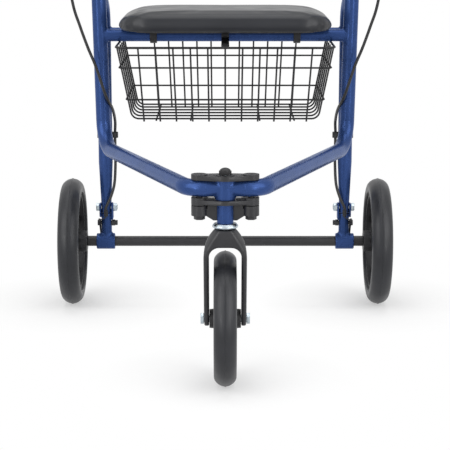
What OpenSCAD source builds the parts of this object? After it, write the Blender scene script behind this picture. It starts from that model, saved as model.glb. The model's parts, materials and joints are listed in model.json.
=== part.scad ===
/* [Wheels] */
// Diameter of each rear wheel over its tyre
rear_wheel_d = 200; // [184:1:216]
// Width of each rear tyre
rear_tyre_w = 32; // [28:1:36]
// Diameter of the front wheel over its tyre
front_wheel_d = 180; // [164:1:188]
// Width of the front tyre
front_tyre_w = 30; // [24:1:34]
// Radial depth of every tyre
tyre_depth = 22; // [18:1:26]
// Spokes in each wheel
spokes = 5; // [3:1:8]
// Distance between the middle planes of the rear wheels
track = 484; // [440:1:520]
// Distance from the rear axle to the front axle
wheelbase = 430; // [400:1:480]
// Distance the front axle trails behind the swivel axis
trail = 35; // [25:1:40]

/* [Frame] */
// Outer diameter of the frame tubes
tube_d = 22; // [20:0.5:24]
// Wall of the frame tubes
tube_wall = 1.4; // [1:0.1:1.6]
// Distance of the uprights' lower bends inside the wheels' middle planes
upright_inset = 57; // [52:1:62]
// Distance of the uprights ahead of the rear axle
upright_ahead = 60; // [45:1:75]
// Outward lean of the uprights in degrees
splay = 1.2; // [0.5:0.1:2]
// Height of the open top of the uprights
upright_top_z = 700; // [660:1:720]
// Height of the side arms at the lower bend
arm_rear_z = 260; // [252:1:266]
// Height of the side arms at the steering head
arm_front_z = 271; // [267:1:275]
// Bend radius between upright and side arm
bend_r = 42; // [36:1:50]
// Half distance of the arms' front corners
arm_corner_x = 46; // [42:1:52]
// Bend radius of the arms' front corners
corner_r = 30; // [26:1:34]
// Distance of the rear legs inside the wheels' middle planes
leg_inset = 54; // [51:1:58]
// Height where each rear leg bends forward
leg_bend_z = 464; // [452:1:476]
// Height where each rear leg meets its upright
leg_top_z = 502; // [496:1:512]
// Outer diameter of the front seat bar
bar_d = 18.4; // [16:0.2:20]
// Outer diameter of the rear seat bar
rest_d = 16; // [14:0.2:16]
// Height of the front seat bar
bar_z = 431; // [426:1:436]

/* [Steering head] */
// Outer diameter of the welded upper sleeve
sleeve_d = 25.4; // [24:0.2:28]
// Height of the welded upper sleeve
sleeve_h = 25.4; // [24:0.2:27]
// Outer diameter of the lower head tube
head_d = 21; // [19:0.5:22]
// Diameter of the steering stem
stem_d = 14; // [12:0.5:15]
// Half distance between the clamp bolts
clamp_x = 33; // [31:0.5:35]
// Distance of the clamp bolts behind the swivel axis
clamp_back = 3; // [1:0.5:5]
// Diameter of the clamp bolts
clamp_d = 8; // [6:0.5:9]
// Radius of the round ends of the clamp plates
clamp_end_r = 10.5; // [9.5:0.1:11]
// Half width of the fork over its legs
fork_x = 28; // [27:0.5:32]
// Thickness of each fork leg
fork_wall = 7; // [5:0.5:8]
// Diameter of the front axle bolt
front_axle_d = 10; // [8:0.5:11]
// Radius of the front hub
front_hub_r = 14; // [12:0.5:15]

/* [Rear axle] */
// Diameter of the rear axle tube
axle_d = 16; // [14:0.5:18]
// Diameter of the axle ends that carry the wheels
spigot_d = 12; // [10:0.5:13]
// Outer diameter of the axle sleeves
axle_sleeve_d = 25; // [23:0.5:27]
// Length of each axle sleeve
axle_sleeve_l = 29; // [26:1:32]
// Diameter of the narrow lower leg and of the stub below it
stub_d = 16.4; // [15:0.2:18]
// Diameter of the bolts through the leg ends
leg_bolt_d = 8; // [6:0.5:9]
// Radius of the rear hubs and of their brake drums
rear_hub_r = 16.5; // [14:0.5:18]

/* [Seat] */
// Clear width between the cushion and the lower bend of each upright
seat_gap = 11; // [8:1:24]
// Depth of the cushion
seat_depth = 188; // [176:1:196]
// Thickness of the cushion at its edge
cushion_h = 25; // [20:0.5:28]
// Rise of the cushion's crown
crown_h = 6; // [3:0.5:9]
// Thickness of the seat board
board_h = 3; // [2:0.5:6]

/* [Basket] */
// Clear width between the basket's rim and each rear leg
basket_gap = 17; // [14:1:27]
// Distance that each side of the basket leans in, from rim to floor
basket_lean = 23; // [15:1:35]
// Distance of the front rim ahead of the rear axle
basket_front = 150; // [140:1:160]
// Distance of the back rim behind the rear axle
basket_back = 40; // [30:1:50]
// Height of the rim
rim_z = 420; // [414:1:421]
// Height of the basket floor
floor_z = 315; // [300:1:330]
// Diameter of the rim wire
rim_wire = 3.4; // [2.6:0.2:4]
// Diameter of the mesh wires
mesh_wire = 2.6; // [2:0.2:3]
// Upright wires in the front and in the back
panel_wires = 11; // [7:2:13]
// Wires across the floor and up the sides
floor_wires = 6; // [4:1:8]

/* [Handles] */
// Outer diameter of the sliding handle tubes
handle_d = 19; // [17:0.2:20]
// Height of the handgrips
grip_z = 880; // [860:1:900]
// Length of the handgrips
grip_l = 96; // [90:1:97]
// Outer diameter of the handgrips
grip_d = 32; // [28:1:34]
// Depth to which a handle tube reaches into its upright
handle_depth = 140; // [125:1:150]
// Diameter of the height knobs
knob_d = 30; // [26:1:34]
// Diameter of the brake cables
cable_d = 4.4; // [4:0.2:5]

/* [Hidden] */
$fn = 48;

// Finishes
frame_blue = "#2f4a8c";
coat_black = "#2b2b2d";
soft_black = "#333336";
zinc = "#b9bcc0";

// Clearances: welded or seated faces, running fits, and parts that pass each other
weld_gap = 0.1;
run_gap = 0.05;
pass_gap = 0.3;

// Places, with the rear axle over the origin before the part is centred
pivot_y = -(wheelbase + trail);
upright_x = track / 2 - upright_inset;
leg_x = track / 2 - leg_inset;
rear_z = rear_wheel_d / 2;
front_z = front_wheel_d / 2;
upright_y = -upright_ahead;
centre_y = (wheelbase + front_wheel_d / 2 - rear_wheel_d / 2) / 2;
tube_bore = tube_d - 2 * tube_wall;
rest_z = rim_z + rim_wire / 2 + pass_gap + rest_d / 2;
function upright_at(z) = [upright_x + (z - arm_rear_z) * tan(splay), upright_y, z];

// Moves the finished piece so that the part's own origin lies under its middle
module placed() translate([0, centre_y, 0]) children();

// The right side is drawn, and the left one is its mirror image
module left() mirror([1, 0, 0]) children();

module both() {
    children();
    left() children();
}

// Straight and bent tubes
seam_l = 0.6;
seam_rise = 0.04;
function unit(v) = v / norm(v);
function open_ends(p) = let (n = len(p) - 1) [for (i = [0:n])
    i == 0 ? p[0] - unit(p[1] - p[0]) : i == n ? p[n] + unit(p[n] - p[n - 1]) : p[i]];
function side_of(w) = unit(cross(abs(w[2]) > 0.99 ? [1, 0, 0] : [0, 0, 1], w));

module in_axes(u, v, w, p)
    multmatrix([
        [u[0], v[0], w[0], p[0]],
        [u[1], v[1], w[1], p[1]],
        [u[2], v[2], w[2], p[2]],
        [0, 0, 0, 1]
    ]) children();

module section(d, bore)
    difference() {
        circle(d = d);
        if (bore > 0)
            circle(d = bore);
    }

module rod(p, q, d, bore = 0) {
    w = unit(q - p);
    u = side_of(w);
    in_axes(u, cross(w, u), w, p) linear_extrude(height = norm(q - p)) section(d, bore);
}

function turn_at(p, i) = acos(unit(p[i] - p[i - 1]) * unit(p[i + 1] - p[i]));
function trim_at(p, r, i) = i == 0 || i == len(p) - 1 ? 0 : r[i - 1] * tan(turn_at(p, i) / 2);

module elbow(p, r, i, d) {
    a = unit(p[i] - p[i - 1]);
    b = unit(p[i + 1] - p[i]);
    n = unit(b - a * (a * b));
    centre = p[i] - a * trim_at(p, r, i) + n * r[i - 1];
    in_axes(-n, a, cross(-n, a), centre)
        rotate_extrude(angle = turn_at(p, i)) translate([r[i - 1], 0]) circle(d = d);
}

// Straight runs and elbows, with a slightly proud bead over each seam
module bent_rod(p, r, d) {
    for (i = [0:len(p) - 2]) {
        a = unit(p[i + 1] - p[i]);
        start = p[i] + a * trim_at(p, r, i);
        end = p[i + 1] - a * trim_at(p, r, i + 1);
        rod(start, end, d);
        if (i > 0)
            rod(start - a * seam_l, start + a * seam_l, d + seam_rise);
        if (i < len(p) - 2)
            rod(end - a * seam_l, end + a * seam_l, d + seam_rise);
    }
    for (i = [1:len(p) - 2])
        elbow(p, r, i, d);
}

module bent_tube(p, r, d, bore)
    difference() {
        bent_rod(p, r, d);
        bent_rod(open_ends(p), r, bore);
    }

// A disc or bar across the object, from x0 to x1
module across(x0, x1, y, z, d, sides = $fn)
    translate([x0, y, z]) rotate([0, 90, 0]) cylinder(h = x1 - x0, d = d, $fn = sides);

// A profile drawn in the Y and Z directions, thick from x0 to x1
module slab(x0, x1) translate([x0, 0, 0]) rotate([90, 0, 90]) linear_extrude(height = x1 - x0) children();

// A flat bar with round ends, between two points of a profile
module strip(p, q, w) {
    translate(p) circle(d = w);
    translate(q) circle(d = w);
    bar = w - seam_rise;
    translate(p) rotate(atan2(q[1] - p[1], q[0] - p[0])) translate([0, -bar / 2]) square([norm(q - p), bar]);
}

// Frame tubes
module upright_core(d) rod(upright_at(arm_rear_z), upright_at(upright_top_z + tube_d), d);
arm_end = [0, pivot_y, arm_front_z];
knob_z = upright_top_z - 24;
knob_x = upright_at(knob_z)[0];
knob_bore = 6;
boss_d = 16;
boss_l = 7;

module frame_tube() {
    path = [
        upright_at(upright_top_z),
        upright_at(arm_rear_z),
        [arm_corner_x, pivot_y, arm_front_z],
        arm_end
    ];
    difference() {
        union() {
            bent_tube(path, [bend_r, corner_r], tube_d, tube_bore);
            difference() {
                across(knob_x, knob_x + tube_d / 2 + boss_l, upright_y, knob_z, boss_d);
                upright_core(tube_d - tube_wall);
            }
        }
        translate(arm_end) cylinder(h = 3 * tube_d, d = sleeve_d + 2 * weld_gap, center = true);
        clamp_hole();
        across(knob_x, knob_x + 2 * tube_d, upright_y, knob_z, knob_bore + 2 * run_gap);
    }
}
module left_frame_tube() color(frame_blue) placed() left() frame_tube();
module right_frame_tube() color(frame_blue) placed() frame_tube();

// Rear legs, narrowed at the foot and bent forward to their uprights
leg_foot_z = rear_z + 47;
leg_bolt_z = rear_z + 55;
taper_z = leg_foot_z + 18;
taper_h = 62;
leg_bend_r = 40;

module rear_leg() {
    taper_top = taper_z + taper_h;
    path = [[leg_x, 0, taper_top], [leg_x, 0, leg_bend_z], upright_at(leg_top_z)];
    difference() {
        union() {
            translate([leg_x, 0, leg_foot_z]) cylinder(h = taper_z - leg_foot_z, d = stub_d);
            translate([leg_x, 0, taper_z]) cylinder(h = taper_h, d1 = stub_d, d2 = tube_d);
            bent_tube(path, [leg_bend_r], tube_d, tube_bore);
        }
        upright_core(tube_d + 2 * weld_gap);
        across(leg_x - tube_d, leg_x + tube_d, 0, leg_bolt_z, leg_bolt_d + 2 * run_gap);
    }
}
module left_rear_leg() color(frame_blue) placed() left() rear_leg();
module right_rear_leg() color(frame_blue) placed() rear_leg();

// Seat bars
bar_wall = 1.5;

module seat_bar()
    color(frame_blue) placed() difference() {
        reach = upright_at(bar_z)[0];
        rod([-reach, upright_y, bar_z], [reach, upright_y, bar_z], bar_d, bar_d - 2 * bar_wall);
        both() upright_core(tube_d + 2 * weld_gap);
    }

module seat_rest_bar()
    color(frame_blue) placed() difference() {
        rod([-leg_x, 0, rest_z], [leg_x, 0, rest_z], rest_d, rest_d - 2 * bar_wall);
        both() translate([leg_x, 0, rest_z - tube_d]) cylinder(h = 2 * tube_d, d = tube_d + 2 * weld_gap);
    }

// Steering head, from the top plate down to the bearing cup
plate_h = 5.4;
sleeve_z = arm_front_z + tube_d / 2 - sleeve_h;
middle_z = sleeve_z - weld_gap - plate_h;
top_z = sleeve_z + sleeve_h + weld_gap;
head_top_z = middle_z - weld_gap;
head_h = 25;
head_z = head_top_z - head_h;
cup_h = 7.4;
cup_z = head_z - cup_h;
cup_d = 33;
centre_r = 17;
clamp_y = pivot_y + clamp_back;
stem_hole = stem_d + 2 * run_gap;

module head_bore(d) translate([0, pivot_y, 0]) cylinder(h = 2 * upright_top_z, d = d, center = true);
module at_clamp(z) translate([clamp_x, clamp_y, z]) children();
module clamp_hole() at_clamp(0) cylinder(h = upright_top_z, d = clamp_d + 2 * run_gap);

module head_sleeve()
    color(frame_blue) placed() difference() {
        translate([0, pivot_y, sleeve_z]) cylinder(h = sleeve_h, d = sleeve_d);
        head_bore(stem_hole);
    }

module head_tube()
    color(frame_blue) placed() difference() {
        translate([0, pivot_y, head_z]) cylinder(h = head_h, d = head_d);
        head_bore(stem_hole);
    }

// A flat bar between two round ends of different size, a little inside their common tangents
module taper_bar(p, q, r0, r1) {
    along = atan2(q[1] - p[1], q[0] - p[0]);
    lean = acos((r0 - r1) / norm(q - p));
    function edge(c, r, a) = c + (r - seam_rise / 2) * [cos(a), sin(a)];
    polygon([
        edge(p, r0, along + lean), edge(p, r0, along - lean),
        edge(q, r1, along - lean), edge(q, r1, along + lean)
    ]);
}

plate_end_r = clamp_end_r - 0.3;

module plate_outline() {
    translate([0, pivot_y]) circle(r = centre_r);
    both() {
        taper_bar([0, pivot_y], [clamp_x, clamp_y], centre_r, plate_end_r);
        translate([clamp_x, clamp_y]) circle(r = plate_end_r);
    }
}

nut_r = 7.4;
nut_h = 4.6;
nut_sink = 3.6;
end_boss_h = 1.2;
centre_boss_h = 0.9;
centre_boss_r = 12;

module top_plate()
    color(coat_black) placed() difference() {
        union() {
            translate([0, 0, top_z]) linear_extrude(height = plate_h) plate_outline();
            translate([0, pivot_y, top_z + 1]) cylinder(h = plate_h + centre_boss_h - 1, r = centre_boss_r);
            both() at_clamp(top_z + 1) cylinder(h = plate_h + end_boss_h - 1, r = clamp_end_r);
        }
        head_bore(stem_d + 2 * pass_gap);
        both() clamp_hole();
        both() at_clamp(top_z + plate_h - nut_sink) cylinder(h = 2 * plate_h, r = nut_r + weld_gap, $fn = 6);
    }

// Under the arms, each end of the middle plate is a thick block, with a rib that falls towards the sleeve
arm_clear = 1;
block_top_z = arm_front_z - tube_d / 2 - arm_clear;
block_z = middle_z - 1.7;
rib_w = 12;
rib_in_x = sleeve_d / 2 + 1.2;
rib_out_x = clamp_x - 1;
rib_in_z = middle_z + plate_h + 0.8;
rib_out_z = block_top_z - 0.2;

module plate_rib() {
    foot = middle_z + plate_h / 2;
    translate([0, clamp_y + rib_w / 2, 0]) rotate([90, 0, 0]) linear_extrude(height = rib_w)
        polygon([[rib_in_x, foot], [rib_out_x, foot], [rib_out_x, rib_out_z], [rib_in_x, rib_in_z]]);
}

module middle_plate()
    color(coat_black) placed() difference() {
        union() {
            translate([0, 0, middle_z]) linear_extrude(height = plate_h) plate_outline();
            both() at_clamp(block_z) cylinder(h = block_top_z - block_z, r = clamp_end_r);
            both() plate_rib();
        }
        head_bore(stem_d + 2 * pass_gap);
        both() clamp_hole();
    }

block_gap = 1;
bracket_top_z = block_z - block_gap;
bracket_h = 13;
bracket_z = bracket_top_z - bracket_h;
bracket_drop = 6;
bracket_neck = 15;
bracket_lip = 2;
bracket_step = 1;
relief_h = 4;
bracket_in_x = clamp_x - nut_r - 1;
bracket_out_x = clamp_x - 2;
bracket_back_y = clamp_y + plate_end_r;
bracket_depth = clamp_back + plate_end_r + bracket_lip;

module bracket_front() {
    half = [
        [bracket_neck, bracket_z - bracket_drop], [bracket_in_x, bracket_z], [bracket_out_x, bracket_z + 1],
        [bracket_out_x, bracket_top_z - bracket_step], [bracket_in_x - 1, bracket_top_z - bracket_step],
        [centre_r, head_top_z]
    ];
    polygon(concat(half, [for (i = [len(half) - 1:-1:0]) [-half[i][0], half[i][1]]]));
}

// The web has a blind notch in its front at each end
module bracket_web() difference() {
    translate([0, bracket_back_y, 0]) rotate([90, 0, 0])
        linear_extrude(height = bracket_depth) bracket_front();
    both() translate([bracket_in_x - 2, bracket_back_y - bracket_depth - 1, bracket_top_z - relief_h])
        cube([clamp_x - bracket_in_x, bracket_depth / 2 + 1, 2 * relief_h]);
}

module lower_bracket()
    color(coat_black) placed() difference() {
        union() {
            both() at_clamp(bracket_z) cylinder(h = bracket_h, r = clamp_end_r);
            bracket_web();
        }
        head_bore(head_d + 2 * weld_gap);
        both() clamp_hole();
    }

bolt_head_h = 5.2;
bolt_z = bracket_z - weld_gap - bolt_head_h;

module clamp_bolts()
    color(coat_black) placed() both() at_clamp(bolt_z) {
        cylinder(h = bolt_head_h, r = nut_r, $fn = 6);
        cylinder(h = top_z + plate_h + end_boss_h - bolt_z, d = clamp_d);
    }

module clamp_nuts()
    color(coat_black) placed() both() at_clamp(top_z + plate_h - nut_sink + weld_gap) difference() {
        cylinder(h = nut_h, r = nut_r, $fn = 6);
        translate([0, 0, -1]) cylinder(h = nut_h + 2, d = clamp_d + 2 * run_gap);
    }

module bearing_cup()
    color(zinc) placed() difference() {
        translate([0, pivot_y, cup_z]) rotate_extrude() polygon([
            [0, 0], [cup_d / 2 - 3, 0], [cup_d / 2, 2.5], [cup_d / 2, 4.4],
            [cup_d / 2 - 2.4, cup_h - weld_gap], [0, cup_h - weld_gap]
        ]);
        head_bore(stem_hole);
    }

// Rear axle, its brackets and the bolts through the leg ends
hub_in_x = track / 2 - 23;
hub_out_x = track / 2 + rear_tyre_w / 2 - 6;
sleeve_x = leg_x + 1.5 - axle_sleeve_l / 2;
ear_t = 3;
ear_in_x = leg_x - stub_d / 2 - ear_t + 0.3;
ear_out_x = leg_x + stub_d / 2 - 0.3;
stub_top_z = leg_foot_z - 1;
ear_w = 16;
brake_z = rear_z + 30;
brake_bolt_d = 6;

module ear(x, z0, z1) slab(x, x + ear_t) {
    translate([-ear_w / 2, z0]) square([ear_w, leg_bolt_z - z0]);
    intersection() {
        translate([0, leg_bolt_z]) circle(d = ear_w);
        translate([-ear_w / 2, z0]) square([ear_w, z1 - z0]);
    }
}

module axle_bracket() difference() {
    union() {
        across(sleeve_x, sleeve_x + axle_sleeve_l, 0, rear_z, axle_sleeve_d);
        translate([leg_x, 0, rear_z]) cylinder(h = stub_top_z - rear_z, d = stub_d);
        difference() {
            union() {
                ear(ear_in_x, leg_bolt_z - 19, leg_bolt_z + 9);
                ear(ear_out_x, leg_bolt_z - 15, leg_bolt_z + 7);
            }
            translate([leg_x, 0, stub_top_z]) cylinder(h = tube_d, d = stub_d + 2 * run_gap);
        }
    }
    across(0, track, 0, rear_z, axle_d + 2 * run_gap);
    across(0, track, 0, leg_bolt_z, leg_bolt_d + 2 * run_gap);
    across(0, track, 0, brake_z, brake_bolt_d + 2 * run_gap);
}
module left_axle_bracket() color(frame_blue) placed() left() axle_bracket();
module right_axle_bracket() color(frame_blue) placed() axle_bracket();

leg_head_h = 5;
leg_head_d = 13;
leg_head_x = ear_out_x + ear_t + weld_gap;
leg_nut_h = 5.6;
leg_nut_in_x = ear_in_x - weld_gap - leg_nut_h;

module leg_bolts()
    color(zinc) placed() both() {
        across(leg_nut_in_x - 1, leg_head_x + leg_head_h, 0, leg_bolt_z, leg_bolt_d);
        across(leg_head_x, leg_head_x + leg_head_h, 0, leg_bolt_z, leg_head_d, 6);
    }

module leg_nuts()
    color(zinc) placed() both() difference() {
        across(leg_nut_in_x, ear_in_x - weld_gap, 0, leg_bolt_z, leg_head_d, 6);
        across(0, track, 0, leg_bolt_z, leg_bolt_d + 2 * run_gap);
    }

cap_l = 5;

module rear_axle()
    color(coat_black) placed() {
        across(pass_gap - hub_in_x, hub_in_x - pass_gap, 0, rear_z, axle_d);
        both() across(hub_in_x - 1, hub_out_x + cap_l - 1, 0, rear_z, spigot_d);
    }

module wheel_caps()
    color(soft_black) placed() both() difference() {
        translate([hub_out_x + pass_gap, 0, rear_z]) rotate([0, 90, 0]) rotate_extrude() polygon([
            [0, 0], [rear_hub_r - 2, 0], [rear_hub_r - 2, cap_l - 3], [rear_hub_r - 5, cap_l], [0, cap_l]
        ]);
        across(hub_out_x, hub_out_x + cap_l - 1 + run_gap, 0, rear_z, spigot_d + 2 * run_gap);
    }

// Brakes: a shoe behind the drum of each rear wheel, on an arm that a cable turns
drum_w = 11;
drum_out_x = hub_in_x + drum_w;
arm_x = leg_x + stub_d / 2 + 0.5;
arm_t = 3;
shoe_gap = 1.6;
shoe_r = rear_hub_r + shoe_gap;
shoe_depth = 12;
shoe_h = 13;
shoe_drop = 11;
shoe_out_x = drum_out_x - 2;
arm_end_y = shoe_r + shoe_depth - 2;
stop_y = -(stub_d / 2 + 6.4);
stop_z = rear_z + 43;
stop_h = 10;
stop_d = 6.4;
stop_bore = 3.6;
horn_z = rear_z + 36;
wire_d = 1.6;
bolt_nut_x = leg_x - stub_d / 2 - weld_gap;
bolt_nut_h = 5;
bolt_tip_h = 4;

module brake_drum() difference() {
    across(hub_in_x, drum_out_x, 0, rear_z, 2 * rear_hub_r);
    across(0, track, 0, rear_z, spigot_d + 2 * run_gap);
}
module left_brake_drum() color(coat_black) placed() left() brake_drum();
module right_brake_drum() color(coat_black) placed() brake_drum();

module brake_bolts()
    color(coat_black) placed() both() {
        across(bolt_nut_x - bolt_nut_h - bolt_tip_h + 1, arm_x + arm_t + 2.5, 0, brake_z, brake_bolt_d);
        across(bolt_nut_x - bolt_nut_h, bolt_nut_x, 0, brake_z, brake_bolt_d + 4, 6);
        across(bolt_nut_x - bolt_nut_h - bolt_tip_h, bolt_nut_x - bolt_nut_h, 0, brake_z, brake_bolt_d + 2);
        across(arm_x + arm_t + pass_gap, arm_x + arm_t + 2.5, 0, brake_z, brake_bolt_d + 3);
    }

module brake_arm() {
    difference() {
        union() {
            slab(arm_x, arm_x + arm_t) {
                strip([0, brake_z], [arm_end_y, rear_z - 2], 8);
                strip([0, brake_z], [stop_y, horn_z], 7);
                translate([0, brake_z]) circle(d = 11);
            }
            slab(arm_x + arm_t / 2, shoe_out_x)
                translate([shoe_r, rear_z - shoe_drop]) square([shoe_depth, shoe_h]);
        }
        across(0, track, 0, brake_z, brake_bolt_d + 2 * run_gap);
    }
    wire_z = stop_z - 2;
    rod([leg_x, stop_y, wire_z], [leg_x, stop_y, stop_z + 4], wire_d);
    translate([leg_x, stop_y, wire_z]) sphere(d = wire_d + seam_rise);
    rod([leg_x, stop_y, wire_z], [arm_x + arm_t / 2, stop_y, horn_z], wire_d);
}
module left_brake_arm() color(coat_black) placed() left() brake_arm();
module right_brake_arm() color(coat_black) placed() brake_arm();

module cable_stops()
    color(coat_black) placed() both() difference() {
        union() {
            translate([leg_x, stop_y, stop_z]) cylinder(h = stop_h, d = stop_d);
            translate([leg_x - stop_d / 2 + 0.4, stop_y, stop_z + 0.4]) cube([stop_d - 0.8, -stop_y, 5]);
        }
        translate([leg_x, stop_y, 0]) cylinder(h = stop_z + stop_h - 2, d = stop_bore);
        translate([leg_x, 0, 0]) cylinder(h = leg_bolt_z, d = stub_d + 2 * weld_gap);
    }

clip_rise = 166;
clip_z = rear_z + clip_rise;
clip_h = 9;
clip_wall = 1.5;
clip_eye = cable_d + 2.4;
cable_x = leg_x - tube_d / 2 - clip_eye / 2 - 0.8;

module cable_clips()
    color(coat_black) placed() both() translate([0, 0, clip_z]) linear_extrude(height = clip_h) difference() {
        union() {
            translate([leg_x, 0]) circle(d = tube_d + 2 * weld_gap + 2 * clip_wall);
            translate([cable_x, 0]) circle(d = clip_eye + 2 * clip_wall);
        }
        translate([leg_x, 0]) circle(d = tube_d + 2 * weld_gap);
        translate([cable_x, 0]) circle(d = clip_eye);
    }

// Brake cables, as tubes swept along routes from lever to leg
cable_route = [
    [198, -23, 858], [198, -33, 858], [206, -45, 855], [215, -60, 842], [222, -86, 800], [229, -108, 720],
    [236, -112, 630], [234, -104, 550], [226, -94, 482], [216, -88, 446], [205, -86, 414], [194, -84, 386],
    [177, -78, 341], [169, -50, 318], [170, -12, 294], [172.8, 0, 274], [172.8, 0, 254], [172.8, 0, 224],
    [174.5, -4, 194], [179.5, -11, 175], [185.5, -14.2, 162], [188, -14.6, 156], [188, -14.6, 153.2]
];
cable_steps = 4;
cable_sides = 8;

function route_point(p, i, t) = let (
    a = p[max(i - 1, 0)], b = p[i], c = p[i + 1], d = p[min(i + 2, len(p) - 1)]
) 0.5 * (2 * b + (c - a) * t + (2 * a - 5 * b + 4 * c - d) * t * t + (3 * b - a - 3 * c + d) * t * t * t);
function route(p, n) = concat(
    [for (i = [0:len(p) - 2]) for (k = [0:n - 1]) route_point(p, i, k / n)],
    [p[len(p) - 1]]
);
function heading(q, k) = unit(q[min(k + 1, len(q) - 1)] - q[max(k - 1, 0)]);
function carried(u, w) = unit(u - w * (u * w));
function frames(q, k, u) = k == len(q) ? [] :
    let (v = carried(u, heading(q, k))) concat([v], frames(q, k + 1, v));

module swept(q, d, sides) {
    sides_u = frames(q, 0, [1, 0.2, 0.1]);
    rings = len(q);
    points = [for (k = [0:rings - 1]) let (w = heading(q, k), u = sides_u[k], v = cross(w, u))
        for (s = [0:sides - 1]) q[k] + d / 2 * (cos(360 * s / sides) * u + sin(360 * s / sides) * v)];
    walls = [for (k = [0:rings - 2]) for (s = [0:sides - 1]) let (
        a = k * sides + s, b = k * sides + (s + 1) % sides
    ) each [[a, a + sides, b + sides], [a, b + sides, b]]];
    last = (rings - 1) * sides;
    polyhedron(points, concat(
        walls,
        [for (s = [1:sides - 2]) [0, s, s + 1]],
        [for (s = [1:sides - 2]) [last, last + s + 1, last + s]]
    ));
}

module brake_cable() swept(route(cable_route, cable_steps), cable_d, cable_sides);
module left_brake_cable() color(coat_black) placed() left() brake_cable();
module right_brake_cable() color(coat_black) placed() brake_cable();

// Seat: a board on two bars, with a crowned cushion
board_z = bar_z + bar_d / 2 + weld_gap;
seat_y = -75;
board_inset = 30;
board_r = 26;
seat_w = 2 * (upright_x - tube_d / 2 - seat_gap);

module round_slab(w, l, h, r) translate([0, seat_y, 0]) linear_extrude(height = h) {
    square([w, l - 2 * r], center = true);
    square([w - 2 * r, l], center = true);
    for (sx = [-1, 1], sy = [-1, 1])
        translate([sx * (w / 2 - r), sy * (l / 2 - r)]) circle(r = r);
}

module seat_board()
    color(coat_black) placed() translate([0, 0, board_z])
        round_slab(seat_w - 2 * board_inset, seat_depth - 2 * board_inset, board_h, board_r);

cushion_z = board_z + board_h + weld_gap;
cushion_sides = 56;
pinch = 0.018;
squareness = 4.5;
// Steps of the cushion's section: inset from the widest line, and height as a share of its edge
cushion_steps = [[12, 0], [4, 0.14], [0.6, 0.34], [0, 0.5], [1.6, 0.74], [7, 0.94], [15, 1.04]];
crown_steps = 6;

function plan(a, x, y) = let (
    c = abs(cos(a)), s = abs(sin(a)),
    r = 1 / pow(pow(c / x, squareness) + pow(s / y, squareness), 1 / squareness)
) r * (1 - pinch * (1 + cos(4 * a)) / 2);

module seat_cushion() {
    edge = [for (s = cushion_steps) for (k = [0:cushion_sides - 1]) let (
        a = 360 * k / cushion_sides, r = plan(a, seat_w / 2 - s[0], seat_depth / 2 - s[0])
    ) [r * cos(a), seat_y + r * sin(a), cushion_z + cushion_h * s[1]]];
    inner = cushion_steps[len(cushion_steps) - 1];
    crown = [for (j = [1:crown_steps - 1]) for (k = [0:cushion_sides - 1]) let (
        a = 360 * k / cushion_sides, t = 1 - j / crown_steps,
        r = t * plan(a, seat_w / 2 - inner[0], seat_depth / 2 - inner[0])
    ) [r * cos(a), seat_y + r * sin(a), cushion_z + cushion_h * inner[1] + crown_h * (1 - t * t * t)]];
    top = [0, seat_y, cushion_z + cushion_h * inner[1] + crown_h];
    rings = len(cushion_steps) + crown_steps - 1;
    points = concat(edge, crown, [top, [0, seat_y, cushion_z]]);
    last = (rings - 1) * cushion_sides;
    tip = rings * cushion_sides;
    color(soft_black) placed() polyhedron(points, concat(
        [for (j = [0:rings - 2]) for (k = [0:cushion_sides - 1]) let (
            a = j * cushion_sides + k, b = j * cushion_sides + (k + 1) % cushion_sides
        ) each [[a, a + cushion_sides, b + cushion_sides], [a, b + cushion_sides, b]]],
        [for (k = [0:cushion_sides - 1]) [last + k, tip, last + (k + 1) % cushion_sides]],
        [for (k = [0:cushion_sides - 1]) [k, (k + 1) % cushion_sides, tip + 1]]
    ));
}

clip_inset = 55;
clip_x = seat_w / 2 - clip_inset;
clip_w = 11;
clip_t = 2.6;

module seat_clips()
    color(coat_black) placed() both() slab(clip_x - clip_w / 2, clip_x + clip_w / 2) difference() {
        union() {
            translate([upright_y, bar_z]) circle(d = bar_d + 2 * weld_gap + 2 * clip_t);
            translate([upright_y - bar_d, board_z - weld_gap - clip_t]) square([2 * bar_d, clip_t]);
        }
        translate([upright_y, bar_z]) circle(d = bar_d + 2 * weld_gap);
        translate([upright_y - bar_d, board_z - weld_gap]) square([2 * bar_d, bar_d]);
    }

pad_w = 30;
pad_y = 12;

module seat_pads()
    color(soft_black) placed() both() slab(clip_x - pad_w / 2, clip_x + pad_w / 2) difference() {
        translate([-pad_y, rest_z + 4]) square([2 * pad_y, board_z - weld_gap - rest_z - 4]);
        translate([0, rest_z]) circle(d = rest_d + 2 * weld_gap);
    }

// Wire basket: rim, front, back, floor and sides
basket_x = leg_x - tube_d / 2 - basket_gap;
basket_floor_x = basket_x - basket_lean;
rim_r = 16;
front_lean = 12;
back_lean = 12;
corner_wire_r = 12;
lap = 0.4;
ring_z = [rim_z - 29, rim_z - 76];
panel_top = rim_z - rim_wire / 2 - weld_gap;
floor_front = basket_front - front_lean;
floor_back = basket_back - back_lean;
front_margin = 33;
back_margin = 48;
floor_margin = 35.4;
long_wires = 5;
front_pitch = 2 * (basket_x - front_margin) / (panel_wires - 1);
back_pitch = 2 * (basket_x - back_margin) / (panel_wires - 1);
floor_pitch = 2 * (basket_floor_x - floor_margin) / (long_wires - 1);
foot_z = floor_z - mesh_wire - 1.2;
function share(z) = (z - floor_z) / (rim_z - floor_z);
function side_x(z) = basket_floor_x + (basket_x - rim_wire / 2 - basket_floor_x) * share(z);
function front_y(z) = -(floor_front + front_lean * share(z));
function back_y(z) = floor_back + back_lean * share(z);

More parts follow.
